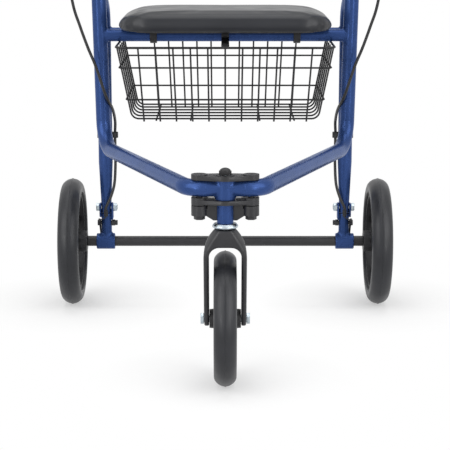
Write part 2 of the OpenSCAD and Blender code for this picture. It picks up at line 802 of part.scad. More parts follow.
module basket_rim() {
    x = basket_x;
    corners = [[x, -basket_front], [x, basket_back], [-x, basket_back], [-x, -basket_front]];
    color(coat_black) placed() translate([0, 0, rim_z]) {
        for (i = [0:3]) {
            p = corners[i];
            q = corners[(i + 1) % 4];
            a = unit(q - p);
            rod(concat(p + a * rim_r, 0), concat(q - a * rim_r, 0), rim_wire);
            translate(p + a * rim_r + [-a[1], a[0]] * rim_r)
                rotate(90 * (i - 1)) rotate_extrude(angle = 90) translate([rim_r, 0]) circle(d = rim_wire);
        }
    }
}

module basket_panel(y_at, pitch, out) {
    ends = (panel_wires - 1) / 2;
    step = out * (mesh_wire - lap);
    for (i = [-ends:ends])
        rod([i * pitch * 0.94, y_at[0], foot_z], [i * pitch, y_at[1], panel_top], mesh_wire);
    for (z = ring_z) {
        x = side_x(z) + mesh_wire / 2;
        y = y_at[0] + (y_at[1] - y_at[0]) * (z - foot_z) / (panel_top - foot_z) + step;
        rod([-x, y, z], [x, y, z], mesh_wire);
    }
}
wall_off = mesh_wire + weld_gap;
module basket_front_panel()
    color(coat_black) placed()
        basket_panel([front_y(floor_z) - wall_off, front_y(rim_z)], front_pitch, -1);
module basket_back_panel()
    color(coat_black) placed()
        basket_panel([back_y(floor_z) + wall_off, back_y(rim_z)], back_pitch, 1);

function floor_y(i) = -floor_front + i * (floor_front + floor_back) / (floor_wires - 1);
side_lean = atan2(side_x(rim_z) - basket_floor_x, rim_z - floor_z);
corner_trim = corner_wire_r * tan((90 - side_lean) / 2);
side_foot = 4;
floor_end = basket_floor_x - corner_trim - side_foot;

module basket_floor()
    color(coat_black) placed() {
        for (i = [0:floor_wires - 1])
            rod([-floor_end, floor_y(i), floor_z], [floor_end, floor_y(i), floor_z], mesh_wire);
        for (i = [-(long_wires - 1) / 2:(long_wires - 1) / 2])
            rod(
                [i * floor_pitch, -floor_front - mesh_wire / 3, floor_z - mesh_wire + lap],
                [i * floor_pitch, floor_back + mesh_wire / 3, floor_z - mesh_wire + lap], mesh_wire
            );
    }

module basket_sides()
    color(coat_black) placed() both() {
        for (i = [0:floor_wires - 1])
            bent_rod([
                [floor_end, floor_y(i), floor_z], [basket_floor_x, floor_y(i), floor_z],
                [side_x(panel_top), floor_y(i), panel_top]
            ], [corner_wire_r], mesh_wire);
        for (z = ring_z) {
            x = side_x(z) + (mesh_wire - lap) / cos(side_lean);
            rod([x, front_y(z) + mesh_wire / 2, z], [x, back_y(z) - mesh_wire / 2, z], mesh_wire);
        }
    }

hook_w = 12;
hook_t = 3;

module basket_hook(y, z, d, rim_y) {
    toward = sign(rim_y - y);
    slab(-hook_w / 2, hook_w / 2) difference() {
        union() {
            translate([y, z]) circle(d = d + 2 * weld_gap + 2 * hook_t);
            translate([rim_y, rim_z]) circle(d = rim_wire + 2 * weld_gap + 2 * hook_t);
            strip([y + toward * (d / 2 + hook_t), z - d / 4], [rim_y, rim_z + rim_wire / 2 + hook_t], hook_t);
        }
        translate([y, z]) circle(d = d + 2 * weld_gap);
        translate([rim_y, rim_z]) circle(d = rim_wire + 2 * weld_gap);
        translate([rim_y - 10, rim_z - 10 - rim_wire / 4]) square([20, 10]);
        translate([y - d, board_z - weld_gap]) square([2 * d, d]);
    }
}
module basket_hooks()
    color(coat_black) placed() {
        basket_hook(upright_y, bar_z, bar_d, -basket_front);
        basket_hook(0, rest_z, rest_d, basket_back);
    }

// Fork, stem and front axle
crown_z = cup_z - pass_gap;
crown_drop = 20;
arch_top = front_wheel_d + 15.5;
arch_r = 12;
fork_in = fork_x - fork_wall;
crown_half = 15;
arch_half = 13;
eye_r = 10;
stem_seat = 4;
axle_y = pivot_y + trail;

module fork_window() {
    for (s = [-1, 1])
        translate([s * (fork_in - arch_r), arch_top - arch_r]) circle(r = arch_r);
    translate([arch_r - fork_in, 0]) square([2 * (fork_in - arch_r), arch_top]);
    translate([-fork_in, 0]) square([2 * fork_in, arch_top - arch_r]);
}

// Seen from the front: a round crown that runs into two legs
module fork_front() difference() {
    union() {
        intersection() {
            translate([0, crown_z - crown_drop]) circle(r = fork_x);
            translate([-fork_x, 0]) square([2 * fork_x, crown_z]);
        }
        translate([seam_rise / 2 - fork_x, 0]) square([2 * fork_x - seam_rise, crown_z - crown_drop]);
    }
    fork_window();
}

// Seen from the side: the crown over the stem, tapering back and down to the axle
module fork_side() {
    translate([axle_y, front_z]) circle(r = eye_r);
    eye_y = eye_r * 0.97;
    eye_dz = eye_r * 0.24;
    polygon([
        [pivot_y - crown_half, crown_z + 1], [pivot_y - crown_half - 1, crown_z - crown_drop / 2],
        [pivot_y - arch_half, arch_top - arch_r], [axle_y - eye_y, front_z - eye_dz],
        [axle_y + eye_y, front_z + eye_dz], [pivot_y + arch_half, arch_top - arch_r],
        [pivot_y + crown_half + 1, crown_z - crown_drop / 2], [pivot_y + crown_half, crown_z + 1]
    ]);
}

module fork()
    color(coat_black) placed() difference() {
        intersection() {
            translate([0, axle_y + 2 * eye_r, 0]) rotate([90, 0, 0])
                linear_extrude(height = trail + 4 * eye_r) fork_front();
            slab(-2 * fork_x, 2 * fork_x) fork_side();
        }
        translate([0, pivot_y, arch_top + stem_seat]) cylinder(h = tube_d * 3, d = stem_d + 2 * run_gap);
        across(-track, track, axle_y, front_z, front_axle_d + 2 * run_gap);
    }

nut_z = top_z + plate_h + centre_boss_h + pass_gap;
dome_af = 14;
dome_h = 8.8;
dome_hex_h = 5;
nut_depth = 6.2;
tip_d = 9;

module fork_stem()
    color(zinc) placed() {
        foot = arch_top + stem_seat + run_gap;
        translate([0, pivot_y, foot]) cylinder(h = top_z + plate_h - foot, d = stem_d);
        translate([0, pivot_y, foot]) cylinder(h = nut_z + nut_depth - run_gap - foot, d = tip_d);
    }

module dome_nut()
    color(soft_black) placed() translate([0, pivot_y, nut_z]) difference() {
        union() {
            cylinder(h = dome_hex_h, d = dome_af / cos(30), $fn = 6);
            intersection() {
                translate([0, 0, 1]) cylinder(h = dome_h - 1, d = dome_af - 0.4);
                translate([0, 0, dome_h - dome_af * 0.7]) sphere(r = dome_af * 0.7);
            }
        }
        translate([0, 0, -1]) cylinder(h = nut_depth + 1, d = tip_d + 2 * run_gap);
    }

axle_head_h = 4.4;
axle_nut_d = 15;

module front_axle()
    color(zinc) placed() {
        across(-fork_x - weld_gap - axle_head_h, fork_x + axle_head_h, axle_y, front_z, front_axle_d);
        across(-fork_x - weld_gap - axle_head_h, -fork_x - weld_gap, axle_y, front_z, axle_nut_d, 6);
    }

module front_axle_nut()
    color(zinc) placed() difference() {
        across(fork_x + weld_gap, fork_x + weld_gap + axle_head_h, axle_y, front_z, axle_nut_d, 6);
        across(0, track, axle_y, front_z, front_axle_d + 2 * run_gap);
    }

// Wheels: solid tyres on spoked rims
rim_wall = 7;
bead_gap = 0.1;
spoke_half = 7;
spoke_sink = 3;

module tyre(d, w) rotate([0, 90, 0]) rotate_extrude() translate([d / 2 - tyre_depth, 0]) {
    translate([0, -w / 2]) square([tyre_depth - w / 2, w]);
    intersection() {
        translate([tyre_depth - w / 2, 0]) circle(d = w);
        translate([0, -w / 2]) square([tyre_depth, w]);
    }
}

module rim(d, w, hub_from, hub_to, bore, hub) {
    outer = d / 2 - tyre_depth - bead_gap;
    foot = hub - spoke_sink;
    tip = outer - rim_wall / 2;
    root = min(spoke_half, foot * tan(180 / spokes) - pass_gap);
    difference() {
        union() {
            rotate([0, 90, 0]) rotate_extrude() translate([outer - rim_wall, -w / 2]) square([rim_wall, w]);
            across(hub_from, hub_to, 0, 0, 2 * hub);
            for (i = [0:spokes - 1])
                rotate([360 * i / spokes, 0, 0]) slab(-w / 6, w / 6)
                    polygon([[-root, foot], [root, foot], [spoke_half, tip], [-spoke_half, tip]]);
        }
        across(hub_from - 1, hub_to + 1, 0, 0, bore);
    }
}

rim_inset = 8;
rim_w = rear_tyre_w - rim_inset;
front_rim_w = front_tyre_w - rim_inset;
front_hub_x = fork_in - pass_gap;
hub_mid = track / 2;
module at_rear_wheel() translate([hub_mid, 0, rear_z]) children();
module at_front_wheel() translate([0, -wheelbase, front_z]) children();
module rear_rim() at_rear_wheel() {
    from = drum_out_x + weld_gap - hub_mid;
    rim(rear_wheel_d, rim_w, from, hub_out_x - hub_mid, spigot_d + 2 * run_gap, rear_hub_r);
}
module left_tyre() color(soft_black) placed() left() at_rear_wheel() tyre(rear_wheel_d, rear_tyre_w);
module right_tyre() color(soft_black) placed() at_rear_wheel() tyre(rear_wheel_d, rear_tyre_w);
module left_rim() color(coat_black) placed() left() rear_rim();
module right_rim() color(coat_black) placed() rear_rim();
module front_tyre() color(soft_black) placed() at_front_wheel() tyre(front_wheel_d, front_tyre_w);
module front_rim()
    color(coat_black) placed() at_front_wheel()
        rim(front_wheel_d, front_rim_w, -front_hub_x, front_hub_x, front_axle_d + 2 * run_gap, front_hub_r);

// Handles: sliding tubes with grips, brake levers and height knobs
handle_top = upright_at(grip_z);
handle_r = 40;
grip_y = 0;
handle_end_y = grip_y + grip_l - 4;

module handle_tube()
    bent_tube([
        upright_at(upright_top_z - handle_depth), handle_top, [handle_top[0], handle_end_y, grip_z]
    ], [handle_r], handle_d, handle_d - 2 * bar_wall);
module left_handle_tube() color(zinc) placed() left() handle_tube();
module right_handle_tube() color(zinc) placed() handle_tube();

module grip() translate([handle_top[0], grip_y, grip_z]) rotate([-90, 0, 0]) difference() {
    rotate_extrude() polygon([
        [0, 0], [grip_d / 2 + 2, 0], [grip_d / 2 + 2, 5], [grip_d / 2 - 2, 9], [grip_d / 2, grip_l * 0.45],
        [grip_d / 2 - 1, grip_l - 8], [grip_d / 2 - 4, grip_l], [0, grip_l]
    ]);
    translate([0, 0, -1]) cylinder(h = handle_end_y - grip_y + 1 + run_gap, d = handle_d + 2 * run_gap);
}
module left_grip() color(soft_black) placed() left() grip();
module right_grip() color(soft_black) placed() grip();

lug_w = 15;
lug_y = grip_y - 19;
lug_l = 16;
lever_t = 7;
pin_d = 5;
pin_y = lug_y + lug_l / 2;
pin_z = grip_z - 23;
lever_drop = 24;
lever_w = 10;
lever_short = 8;
elbow_l = 24;
elbow_drop = 12;
lever_elbow = [pin_y + elbow_l, pin_z - elbow_drop];

module lever_bracket() {
    difference() {
        union() {
            translate([handle_top[0], lug_y, grip_z]) rotate([-90, 0, 0])
                cylinder(h = lug_l, d = handle_d + 8);
            translate([handle_top[0] - lug_w / 2, lug_y, pin_z - 7]) cube([lug_w, lug_l, grip_z - pin_z + 3]);
            translate([handle_top[0], lug_y - 8, pin_z + 1]) rotate([-90, 0, 0]) cylinder(h = 9, d = 9);
        }
        translate([handle_top[0], lug_y - 1, grip_z]) rotate([-90, 0, 0])
            cylinder(h = lug_l + 2, d = handle_d + 2 * run_gap);
        translate([handle_top[0] - lever_t / 2 - pass_gap, lug_y + 1, pin_z - 8])
            cube([lever_t + 2 * pass_gap, lug_l, 8 + 9]);
        translate([handle_top[0], lug_y - 20, pin_z + 1]) rotate([-90, 0, 0])
            cylinder(h = 17, d = cable_d + 1);
    }
    across(handle_top[0] - lug_w / 2 - 1, handle_top[0] + lug_w / 2 + 1, pin_y, pin_z, pin_d);
}
module left_lever_bracket() color(coat_black) placed() left() lever_bracket();
module right_lever_bracket() color(coat_black) placed() lever_bracket();

module brake_lever()
    slab(handle_top[0] - lever_t / 2, handle_top[0] + lever_t / 2) difference() {
        union() {
            translate([pin_y, pin_z]) circle(d = 12);
            strip([pin_y, pin_z], lever_elbow, lever_w);
            strip(lever_elbow, [grip_y + grip_l - lever_short, grip_z - lever_drop - grip_d / 2], lever_w);
        }
        translate([pin_y, pin_z]) circle(d = pin_d + 2 * run_gap);
    }
module left_brake_lever() color(coat_black) placed() left() brake_lever();
module right_brake_lever() color(coat_black) placed() brake_lever();

knob_in_x = knob_x + tube_d / 2 + boss_l + pass_gap;
knob_l = 16;
lobes = 5;

module height_knob() {
    across(knob_x + handle_d / 2 + 2 * pass_gap, knob_in_x + 1, upright_y, knob_z, knob_bore);
    across(knob_in_x, knob_in_x + 5, upright_y, knob_z, boss_d - 2);
    difference() {
        across(knob_in_x + 4, knob_in_x + knob_l, upright_y, knob_z, knob_d);
        translate([0, upright_y, knob_z]) for (i = [0:lobes - 1])
            rotate([360 * (i + 0.5) / lobes, 0, 0])
                across(knob_in_x, knob_in_x + 2 * knob_l, 0, knob_d / 2 + 2, knob_d / 3);
    }
}
module left_height_knob() color(soft_black) placed() left() height_knob();
module right_height_knob() color(soft_black) placed() height_knob();

left_frame_tube();
right_frame_tube();
left_rear_leg();
right_rear_leg();
seat_bar();
seat_rest_bar();
head_sleeve();
head_tube();
top_plate();
middle_plate();
lower_bracket();
clamp_bolts();
clamp_nuts();
bearing_cup();
left_axle_bracket();
right_axle_bracket();
leg_bolts();
leg_nuts();
rear_axle();
wheel_caps();
brake_bolts();
cable_stops();
cable_clips();
left_brake_cable();
right_brake_cable();
seat_board();
seat_cushion();
seat_clips();
seat_pads();
basket_rim();
basket_front_panel();
basket_back_panel();
basket_floor();
basket_sides();
basket_hooks();
fork();
fork_stem();
dome_nut();
front_axle();
front_axle_nut();
front_tyre();
front_rim();
left_tyre();
left_rim();
right_tyre();
right_rim();
left_brake_drum();
right_brake_drum();
left_brake_arm();
right_brake_arm();
left_handle_tube();
right_handle_tube();
left_grip();
right_grip();
left_lever_bracket();
right_lever_bracket();
left_brake_lever();
right_brake_lever();
left_height_knob();
right_height_knob();
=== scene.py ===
import json
import math

import bmesh
import bpy
import numpy as np
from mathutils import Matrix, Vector

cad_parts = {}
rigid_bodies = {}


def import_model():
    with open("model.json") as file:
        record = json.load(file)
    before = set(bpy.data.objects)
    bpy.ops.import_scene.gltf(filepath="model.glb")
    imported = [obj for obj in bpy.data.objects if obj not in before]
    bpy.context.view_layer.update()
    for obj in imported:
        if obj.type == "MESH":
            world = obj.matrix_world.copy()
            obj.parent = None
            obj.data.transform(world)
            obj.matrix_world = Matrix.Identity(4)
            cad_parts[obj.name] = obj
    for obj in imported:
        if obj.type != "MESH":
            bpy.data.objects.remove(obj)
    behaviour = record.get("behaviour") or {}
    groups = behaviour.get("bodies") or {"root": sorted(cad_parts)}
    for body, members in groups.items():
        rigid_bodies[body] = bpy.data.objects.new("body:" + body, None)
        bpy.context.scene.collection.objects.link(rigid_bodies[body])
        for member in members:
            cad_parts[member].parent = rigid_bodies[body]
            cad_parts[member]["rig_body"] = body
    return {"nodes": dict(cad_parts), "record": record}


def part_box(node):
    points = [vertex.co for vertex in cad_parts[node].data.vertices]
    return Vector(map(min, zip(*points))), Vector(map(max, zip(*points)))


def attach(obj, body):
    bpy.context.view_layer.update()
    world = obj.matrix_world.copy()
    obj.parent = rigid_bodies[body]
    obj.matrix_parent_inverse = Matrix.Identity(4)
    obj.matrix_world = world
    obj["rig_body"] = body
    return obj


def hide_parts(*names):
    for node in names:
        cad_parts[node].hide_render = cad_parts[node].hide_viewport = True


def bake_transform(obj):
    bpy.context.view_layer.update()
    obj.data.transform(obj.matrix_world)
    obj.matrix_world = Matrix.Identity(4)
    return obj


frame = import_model()
NODES = frame["nodes"]
SLOT_OF = {s["node"]: s["material_slot"] for s in frame["record"]["subparts"]}
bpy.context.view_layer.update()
MM = 0.001
UP = Vector((0, 0, 1))

# Sizes of the part that the pieces below follow, in millimetres, with the rear axle over y = 0
SHIFT_Y = 210
UPRIGHT_X, UPRIGHT_Y, ARM_Z, SPLAY = 185, -60, 260, 1.2
LEG_X, LEG_BEND_Z, LEG_TOP_Z = 188, 464, 502
TUBE_R = 11


def at(x, y, z):
    """A place in millimetres over the rear axle, in the part's frame in metres."""
    return Vector((x, y + SHIFT_Y, z)) * MM


def middle(name):
    low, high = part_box(name)
    return (low + high) / 2


def upright_x(z):
    return UPRIGHT_X + (z - ARM_Z) * math.tan(math.radians(SPLAY))


def upright_axis(side):
    lean = math.radians(SPLAY)
    return Vector((side * math.sin(lean), 0, math.cos(lean)))


def eased_step(value, start, end):
    """Rises smoothly from 0 at start to 1 at end."""
    t = min(max((value - start) / (end - start), 0.0), 1.0)
    return t * t * (3 - 2 * t)


# Materials


def shader(name):
    material = bpy.data.materials.new(name)
    material.use_nodes = True
    tree = material.node_tree
    return material, tree, tree.nodes["Principled BSDF"]


def add(tree, kind, **sockets):
    node = tree.nodes.new(kind)
    for key, value in sockets.items():
        node.inputs[key].default_value = value
    return node


def math_node(tree, operation, first, second):
    node = tree.nodes.new("ShaderNodeMath")
    node.operation = operation
    tree.links.new(first, node.inputs[0])
    tree.links.new(second, node.inputs[1])
    return node.outputs[0]


def places(tree):
    return tree.nodes.new("ShaderNodeTexCoord").outputs["Object"]


def noise(tree, scale, detail=3.0):
    node = add(tree, "ShaderNodeTexNoise", Scale=scale, Detail=detail)
    tree.links.new(places(tree), node.inputs["Vector"])
    return node.outputs["Fac"]


def cells(tree, scale):
    node = add(tree, "ShaderNodeTexVoronoi", Scale=scale)
    tree.links.new(places(tree), node.inputs["Vector"])
    return node.outputs["Distance"]


def spread(tree, source, low, high, start=0.3, end=0.7):
    node = tree.nodes.new("ShaderNodeMapRange")
    for key, value in (("From Min", start), ("From Max", end), ("To Min", low), ("To Max", high)):
        node.inputs[key].default_value = value
    tree.links.new(source, node.inputs["Value"])
    return node.outputs["Result"]


def ramp(tree, source, low, high, start=0.3, end=0.7):
    node = tree.nodes.new("ShaderNodeValToRGB")
    first, last = node.color_ramp.elements
    first.position, first.color = start, (*low, 1)
    last.position, last.color = end, (*high, 1)
    tree.links.new(source, node.inputs["Fac"])
    return node.outputs["Color"]


def bump(tree, source, strength, depth):
    node = add(tree, "ShaderNodeBump", Strength=strength, Distance=depth)
    tree.links.new(source, node.inputs["Height"])
    return node.outputs["Normal"]


# Depth of the grain in metres, and how much finer than the colour the roughness varies
GRAIN_DEPTH, ROUGH_SCALE, ROUGH_DETAIL = 0.0002, 2.3, 4.0


def finish(name, dark, light, rough, mottle, grain, strength,
           pattern=noise, metal=0.0, specular=0.5, tint=(1, 1, 1)):
    """A surface whose colour and roughness vary over it, with a fine grain; scales are per metre."""
    material, tree, surface = shader(name)
    surface.inputs["Metallic"].default_value = metal
    surface.inputs["Specular IOR Level"].default_value = specular
    surface.inputs["Specular Tint"].default_value = (*tint, 1)
    colour = ramp(tree, noise(tree, mottle), dark, light)
    tree.links.new(colour, surface.inputs["Base Color"])
    roughness = spread(tree, noise(tree, mottle * ROUGH_SCALE, ROUGH_DETAIL), *rough)
    tree.links.new(roughness, surface.inputs["Roughness"])
    tree.links.new(bump(tree, pattern(tree, grain), strength, GRAIN_DEPTH), surface.inputs["Normal"])
    return material


FINISHES = {
    "frame_blue": dict(
        dark=(0.022, 0.050, 0.156), light=(0.029, 0.062, 0.194), rough=(0.25, 0.31),
        mottle=24, grain=90, strength=0.01, metal=0.4, specular=0.22, tint=(0.6, 0.72, 1.0)),
    "black_metal": dict(
        dark=(0.009, 0.009, 0.011), light=(0.014, 0.014, 0.017), rough=(0.36, 0.46),
        mottle=60, grain=1900, strength=0.20),
    "zinc": dict(
        dark=(0.36, 0.42, 0.46), light=(0.53, 0.59, 0.63), rough=(0.20, 0.36),
        mottle=120, grain=1600, strength=0.06, metal=1.0),
    "basket_wire": dict(
        dark=(0.009, 0.009, 0.010), light=(0.015, 0.015, 0.016), rough=(0.36, 0.48),
        mottle=90, grain=1500, strength=0.04, specular=0.3),
    "black_plastic": dict(
        dark=(0.012, 0.012, 0.013), light=(0.019, 0.019, 0.021), rough=(0.44, 0.58),
        mottle=50, grain=1300, strength=0.22, pattern=cells, specular=0.35),
    "tyre": dict(
        dark=(0.013, 0.014, 0.017), light=(0.020, 0.021, 0.025), rough=(0.34, 0.44),
        mottle=30, grain=1100, strength=0.12, specular=0.36),
    "grip_rubber": dict(
        dark=(0.014, 0.014, 0.015), light=(0.023, 0.023, 0.024), rough=(0.60, 0.75),
        mottle=55, grain=1400, strength=0.30, pattern=cells, specular=0.35),
    "cable": dict(
        dark=(0.010, 0.010, 0.011), light=(0.016, 0.016, 0.017), rough=(0.34, 0.46),
        mottle=80, grain=1500, strength=0.04, specular=0.4),
    "seat_vinyl": dict(
        dark=(0.005, 0.006, 0.009), light=(0.009, 0.010, 0.014), rough=(0.32, 0.40),
        mottle=16, grain=620, strength=0.22, pattern=cells, specular=0.4),
    "handle_tube": dict(
        dark=(0.29, 0.30, 0.32), light=(0.36, 0.37, 0.39), rough=(0.18, 0.24),
        mottle=40, grain=1800, strength=0.004, metal=1.0),
}
MATERIALS = {slot: finish(slot, **values) for slot, values in FINISHES.items()}


def dress(piece, slot):
    piece.data.materials.clear()
    piece.data.materials.append(MATERIALS[slot])
    return piece


for name, node in NODES.items():
    dress(node, SLOT_OF[name])


# Making pieces; corners of a solid nearer than this, in metres, are one corner
SAME_PLACE = 2e-6


def new_piece(name, bm, slot):
    mesh = bpy.data.meshes.new(name)
    bmesh.ops.recalc_face_normals(bm, faces=bm.faces)
    bm.to_mesh(mesh)
    bm.free()
    piece = bpy.data.objects.new(name, mesh)
    bpy.context.scene.collection.objects.link(piece)
    return dress(piece, slot)


def smooth(piece, angle=40.0):
    for face in piece.data.polygons:
        face.use_smooth = True
    piece.data.set_sharp_from_angle(angle=math.radians(angle))
    return piece


def applied(piece):
    """The piece with its modifiers made part of its mesh."""
    graph = bpy.context.evaluated_depsgraph_get()
    mesh = bpy.data.meshes.new_from_object(piece.evaluated_get(graph))
    piece.modifiers.clear()
    piece.data = mesh
    return piece


def even_normals(piece):
    """Shading that follows the large faces and keeps the sharp edges."""
    even = piece.modifiers.new("even", "WEIGHTED_NORMAL")
    even.keep_sharp = True
    return applied(piece)


def stand_for(piece, node):
    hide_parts(node)
    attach(piece, NODES[node]["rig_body"])
    return piece


def solid_of(name):
    """A node's own mesh, with its split corners joined again."""
    bm = bmesh.new()
    bm.from_mesh(NODES[name].data)
    bmesh.ops.remove_doubles(bm, verts=bm.verts, dist=SAME_PLACE)
    return bm


def remeshed(piece, voxel):
    even = piece.modifiers.new("even", "REMESH")
    even.mode = "VOXEL"
    even.voxel_size = voxel
    return applied(piece)


def ring_mesh(rings, closed_path):
    """A skin over rings of points; open paths get end caps."""
    bm = bmesh.new()
    rows = [[bm.verts.new(p) for p in ring] for ring in rings]
    count, sides = len(rows), len(rows[0])
    for i in range(count if closed_path else count - 1):
        a, b = rows[i], rows[(i + 1) % count]
        for k in range(sides):
            m = (k + 1) % sides
            bm.faces.new((a[k], b[k], b[m], a[m]))
    if not closed_path:
        bm.faces.new(rows[0])
        bm.faces.new(list(reversed(rows[-1])))
    return bm


def tube_rings(path, radius, sides):
    """Rings of points square to an open path, turned as little as possible from one to the next."""
    rings, u, last = [], None, len(path) - 1
    turns = [2 * math.pi * k / sides for k in range(sides)]
    for i, p in enumerate(path):
        w = (path[min(i + 1, last)] - path[max(i - 1, 0)]).normalized()
        if u is None:
            u = w.orthogonal()
        u = (u - w * u.dot(w)).normalized()
        v = w.cross(u)
        rings.append([p + radius * (math.cos(t) * u + math.sin(t) * v) for t in turns])
    return rings


def spun(profile, centre, axis, steps):
    """A closed profile of (radius, along) points in millimetres, turned about an axis through centre."""
    u = axis.orthogonal().normalized()
    v = axis.cross(u)
    rings = []
    for i in range(steps):
        t = 2 * math.pi * i / steps
        out = math.cos(t) * u + math.sin(t) * v
        rings.append([centre + (out * r + axis * a) * MM for r, a in profile])
    return ring_mesh(rings, True)


def eased(points, steps):
    """A smooth line through points."""
    out = []
    p = [np.array(q, float) for q in points]
    for i in range(len(p) - 1):
        a, b, c, d = p[max(i - 1, 0)], p[i], p[i + 1], p[min(i + 2, len(p) - 1)]
        for k in range(steps):
            t = k / steps
            out.append(0.5 * (2 * b + (c - a) * t + (2 * a - 5 * b + 4 * c - d) * t * t
                              + (3 * b - a - 3 * c + d) * t ** 3))
    return out + [p[-1]]


# Rigid nodes with their sharp edges broken, by the width of the break in millimetres
EDGES = {
    "top_plate": 1.1, "middle_plate": 1.3, "lower_bracket": 1.3, "clamp_bolts": 0.6, "clamp_nuts": 0.6,
    "leg_bolts": 0.5, "leg_nuts": 0.5, "front_axle": 0.5, "front_axle_nut": 0.5, "left_brake_arm": 0.4,
    "right_brake_arm": 0.4, "brake_bolts": 0.4, "cable_stops": 0.3, "cable_clips": 0.4, "seat_board": 1.2,
    "seat_pads": 0.8, "front_rim": 0.9, "left_rim": 0.9, "right_rim": 0.9, "left_brake_drum": 0.8,
    "right_brake_drum": 0.8, "left_lever_bracket": 1.0, "right_lever_bracket": 1.0, "left_brake_lever": 2.0,
    "right_brake_lever": 2.0, "left_height_knob": 1.0, "right_height_knob": 1.0, "wheel_caps": 0.7,
    "dome_nut": 0.8, "rear_axle": 0.5, "head_sleeve": 0.8, "head_tube": 0.8, "bearing_cup": 0.5,
}
# Steps of a break, and in degrees the least angle of an edge to break and the most of one to leave out
EDGE_STEPS, EDGE_ANGLE, FLAT_ANGLE = 3, 33, 0.4

# Hubs whose ends, outside the bore, are smaller than their middle, by the taper in millimetres
HUBS, BORE_R, HUB_END = {"front_rim": 1.6}, 10, 0.5


def taper_hub(bm, name, taper):
    low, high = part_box(name)
    centre, end = middle(name), (high.x - low.x) / 2 - HUB_END * MM
    for v in bm.verts:
        out = Vector((0, *(v.co - centre).yz))
        if abs(v.co.x - centre.x) > end and out.length > BORE_R * MM:
            v.co -= out.normalized() * taper * MM


def broken_edges(name, width):
    bm = solid_of(name)
    if name in HUBS:
        taper_hub(bm, name, HUBS[name])
    bmesh.ops.dissolve_limit(bm, angle_limit=math.radians(FLAT_ANGLE), verts=bm.verts, edges=bm.edges)
    piece = new_piece("edged_" + name, bm, SLOT_OF[name])
    edge = piece.modifiers.new("edge", "BEVEL")
    edge.width = width * MM
    edge.segments = EDGE_STEPS
    edge.limit_method = "ANGLE"
    edge.angle_limit = math.radians(EDGE_ANGLE)
    return stand_for(smooth(even_normals(piece)), name)


for name, width in EDGES.items():
    broken_edges(name, width)

# Tubes in their own shape, with an even shine round them
TUBES = (
    "left_frame_tube", "right_frame_tube", "left_rear_leg", "right_rear_leg", "seat_bar", "seat_rest_bar",
    "left_handle_tube", "right_handle_tube",
)


def even_tube(name):
    piece = smooth(new_piece("even_" + name, solid_of(name), SLOT_OF[name]))
    return stand_for(even_normals(piece), name)


for name in TUBES:
    even_tube(name)

# Nodes with soft round edges all over: (size of the mesh in metres, rounds of smoothing)
SOFT = {
    "basket_hooks": (0.0007, 14), "seat_clips": (0.0007, 12),
    "left_axle_bracket": (0.0008, 6), "right_axle_bracket": (0.0008, 6),
}


def rounded(bm, rounds):
    for _ in range(rounds):
        bmesh.ops.smooth_vert(
            bm, verts=bm.verts, factor=0.5, use_axis_x=True, use_axis_y=True, use_axis_z=True)


def soft_edges(name, voxel, rounds):
    piece = remeshed(new_piece("rounded_" + name, solid_of(name), SLOT_OF[name]), voxel)
    bm = bmesh.new()
    bm.from_mesh(piece.data)
    rounded(bm, rounds)
    bm.to_mesh(piece.data)
    bm.free()
    return stand_for(smooth(dress(piece, SLOT_OF[name]), 60), name)


for name, (voxel, rounds) in SOFT.items():
    soft_edges(name, voxel, rounds)

# Fork: the solid's form with round edges, and a crown that narrows upwards round a flat front
FORK_VOXEL, FORK_ROUNDING = 0.001, 5
CROWN_R, CROWN_DROP, CROWN_SIDES, CROWN_NARROWED, CROWN_CURVE = 28, 20, 38, 0.32, 1.7
FRONT_TOP, FRONT_FOOT, FRONT_DROP, FRONT_FALL, FRONT_CURVE = 7, 23, 27, 0.85, 1.8


def domed_fork():
    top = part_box("fork")[1].z / MM
    pivot = middle("head_tube")
    piece = remeshed(new_piece("domed_fork", solid_of("fork"), SLOT_OF["fork"]), FORK_VOXEL)
    bm = bmesh.new()
    bm.from_mesh(piece.data)
    rounded(bm, FORK_ROUNDING)
    for v in bm.verts:
        drop = top - v.co.z / MM
        narrow = 1 - CROWN_NARROWED * max(1 - drop / CROWN_SIDES, 0) ** CROWN_CURVE
        v.co.x *= narrow
        half = math.sqrt(max(CROWN_R ** 2 - max(CROWN_DROP - drop, 0) ** 2, 1.0)) * narrow
        flat = FRONT_TOP + (FRONT_FOOT - FRONT_TOP) * min(max(drop / FRONT_DROP, 0), 1)
        beside = min(max((abs(v.co.x) / MM - flat) / (half - flat), 0.0), 1.0)
        above = 1 - eased_step(drop, CROWN_DROP / 2, CROWN_SIDES)
        v.co.y = pivot.y + (v.co.y - pivot.y) * (1 - FRONT_FALL * above * beside ** FRONT_CURVE)
    rounded(bm, 2 * FORK_ROUNDING)
    bm.to_mesh(piece.data)
    bm.free()
    return stand_for(smooth(dress(piece, SLOT_OF["fork"]), 60), "fork")


domed_fork()

# Tyres: half of a section as (depth under the tread in millimetres, share of the half width), bead first
TYRE_SECTION = [
    (21.9, 0.80), (21.5, 0.92), (20.8, 0.985), (19.8, 0.99), (18.8, 0.955), (17.2, 0.965), (14.5, 0.998),
    (11, 0.975), (7.6, 0.87), (4.4, 0.67), (1.9, 0.40), (0.75, 0.13), (0.6, 0.06), (0, 0.035),
]
TYRE_STEPS, TYRE_SIDES = 4, 112
TYRES = ("left_tyre", "right_tyre", "front_tyre")


def tyre(name):
    low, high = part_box(name)
    radius = (high.z - low.z) / 2 / MM
    half_width = (high.x - low.x) / 2 / MM
    line = [(radius - depth, share * half_width) for depth, share in eased(TYRE_SECTION, TYRE_STEPS)]
    profile = line + [(r, -w) for r, w in reversed(line)]
    form = spun(profile, middle(name), Vector((1, 0, 0)), TYRE_SIDES)
    piece = new_piece("moulded_" + name, form, "tyre")
    return stand_for(smooth(piece, 60), name)


for name in TYRES:
    tyre(name)

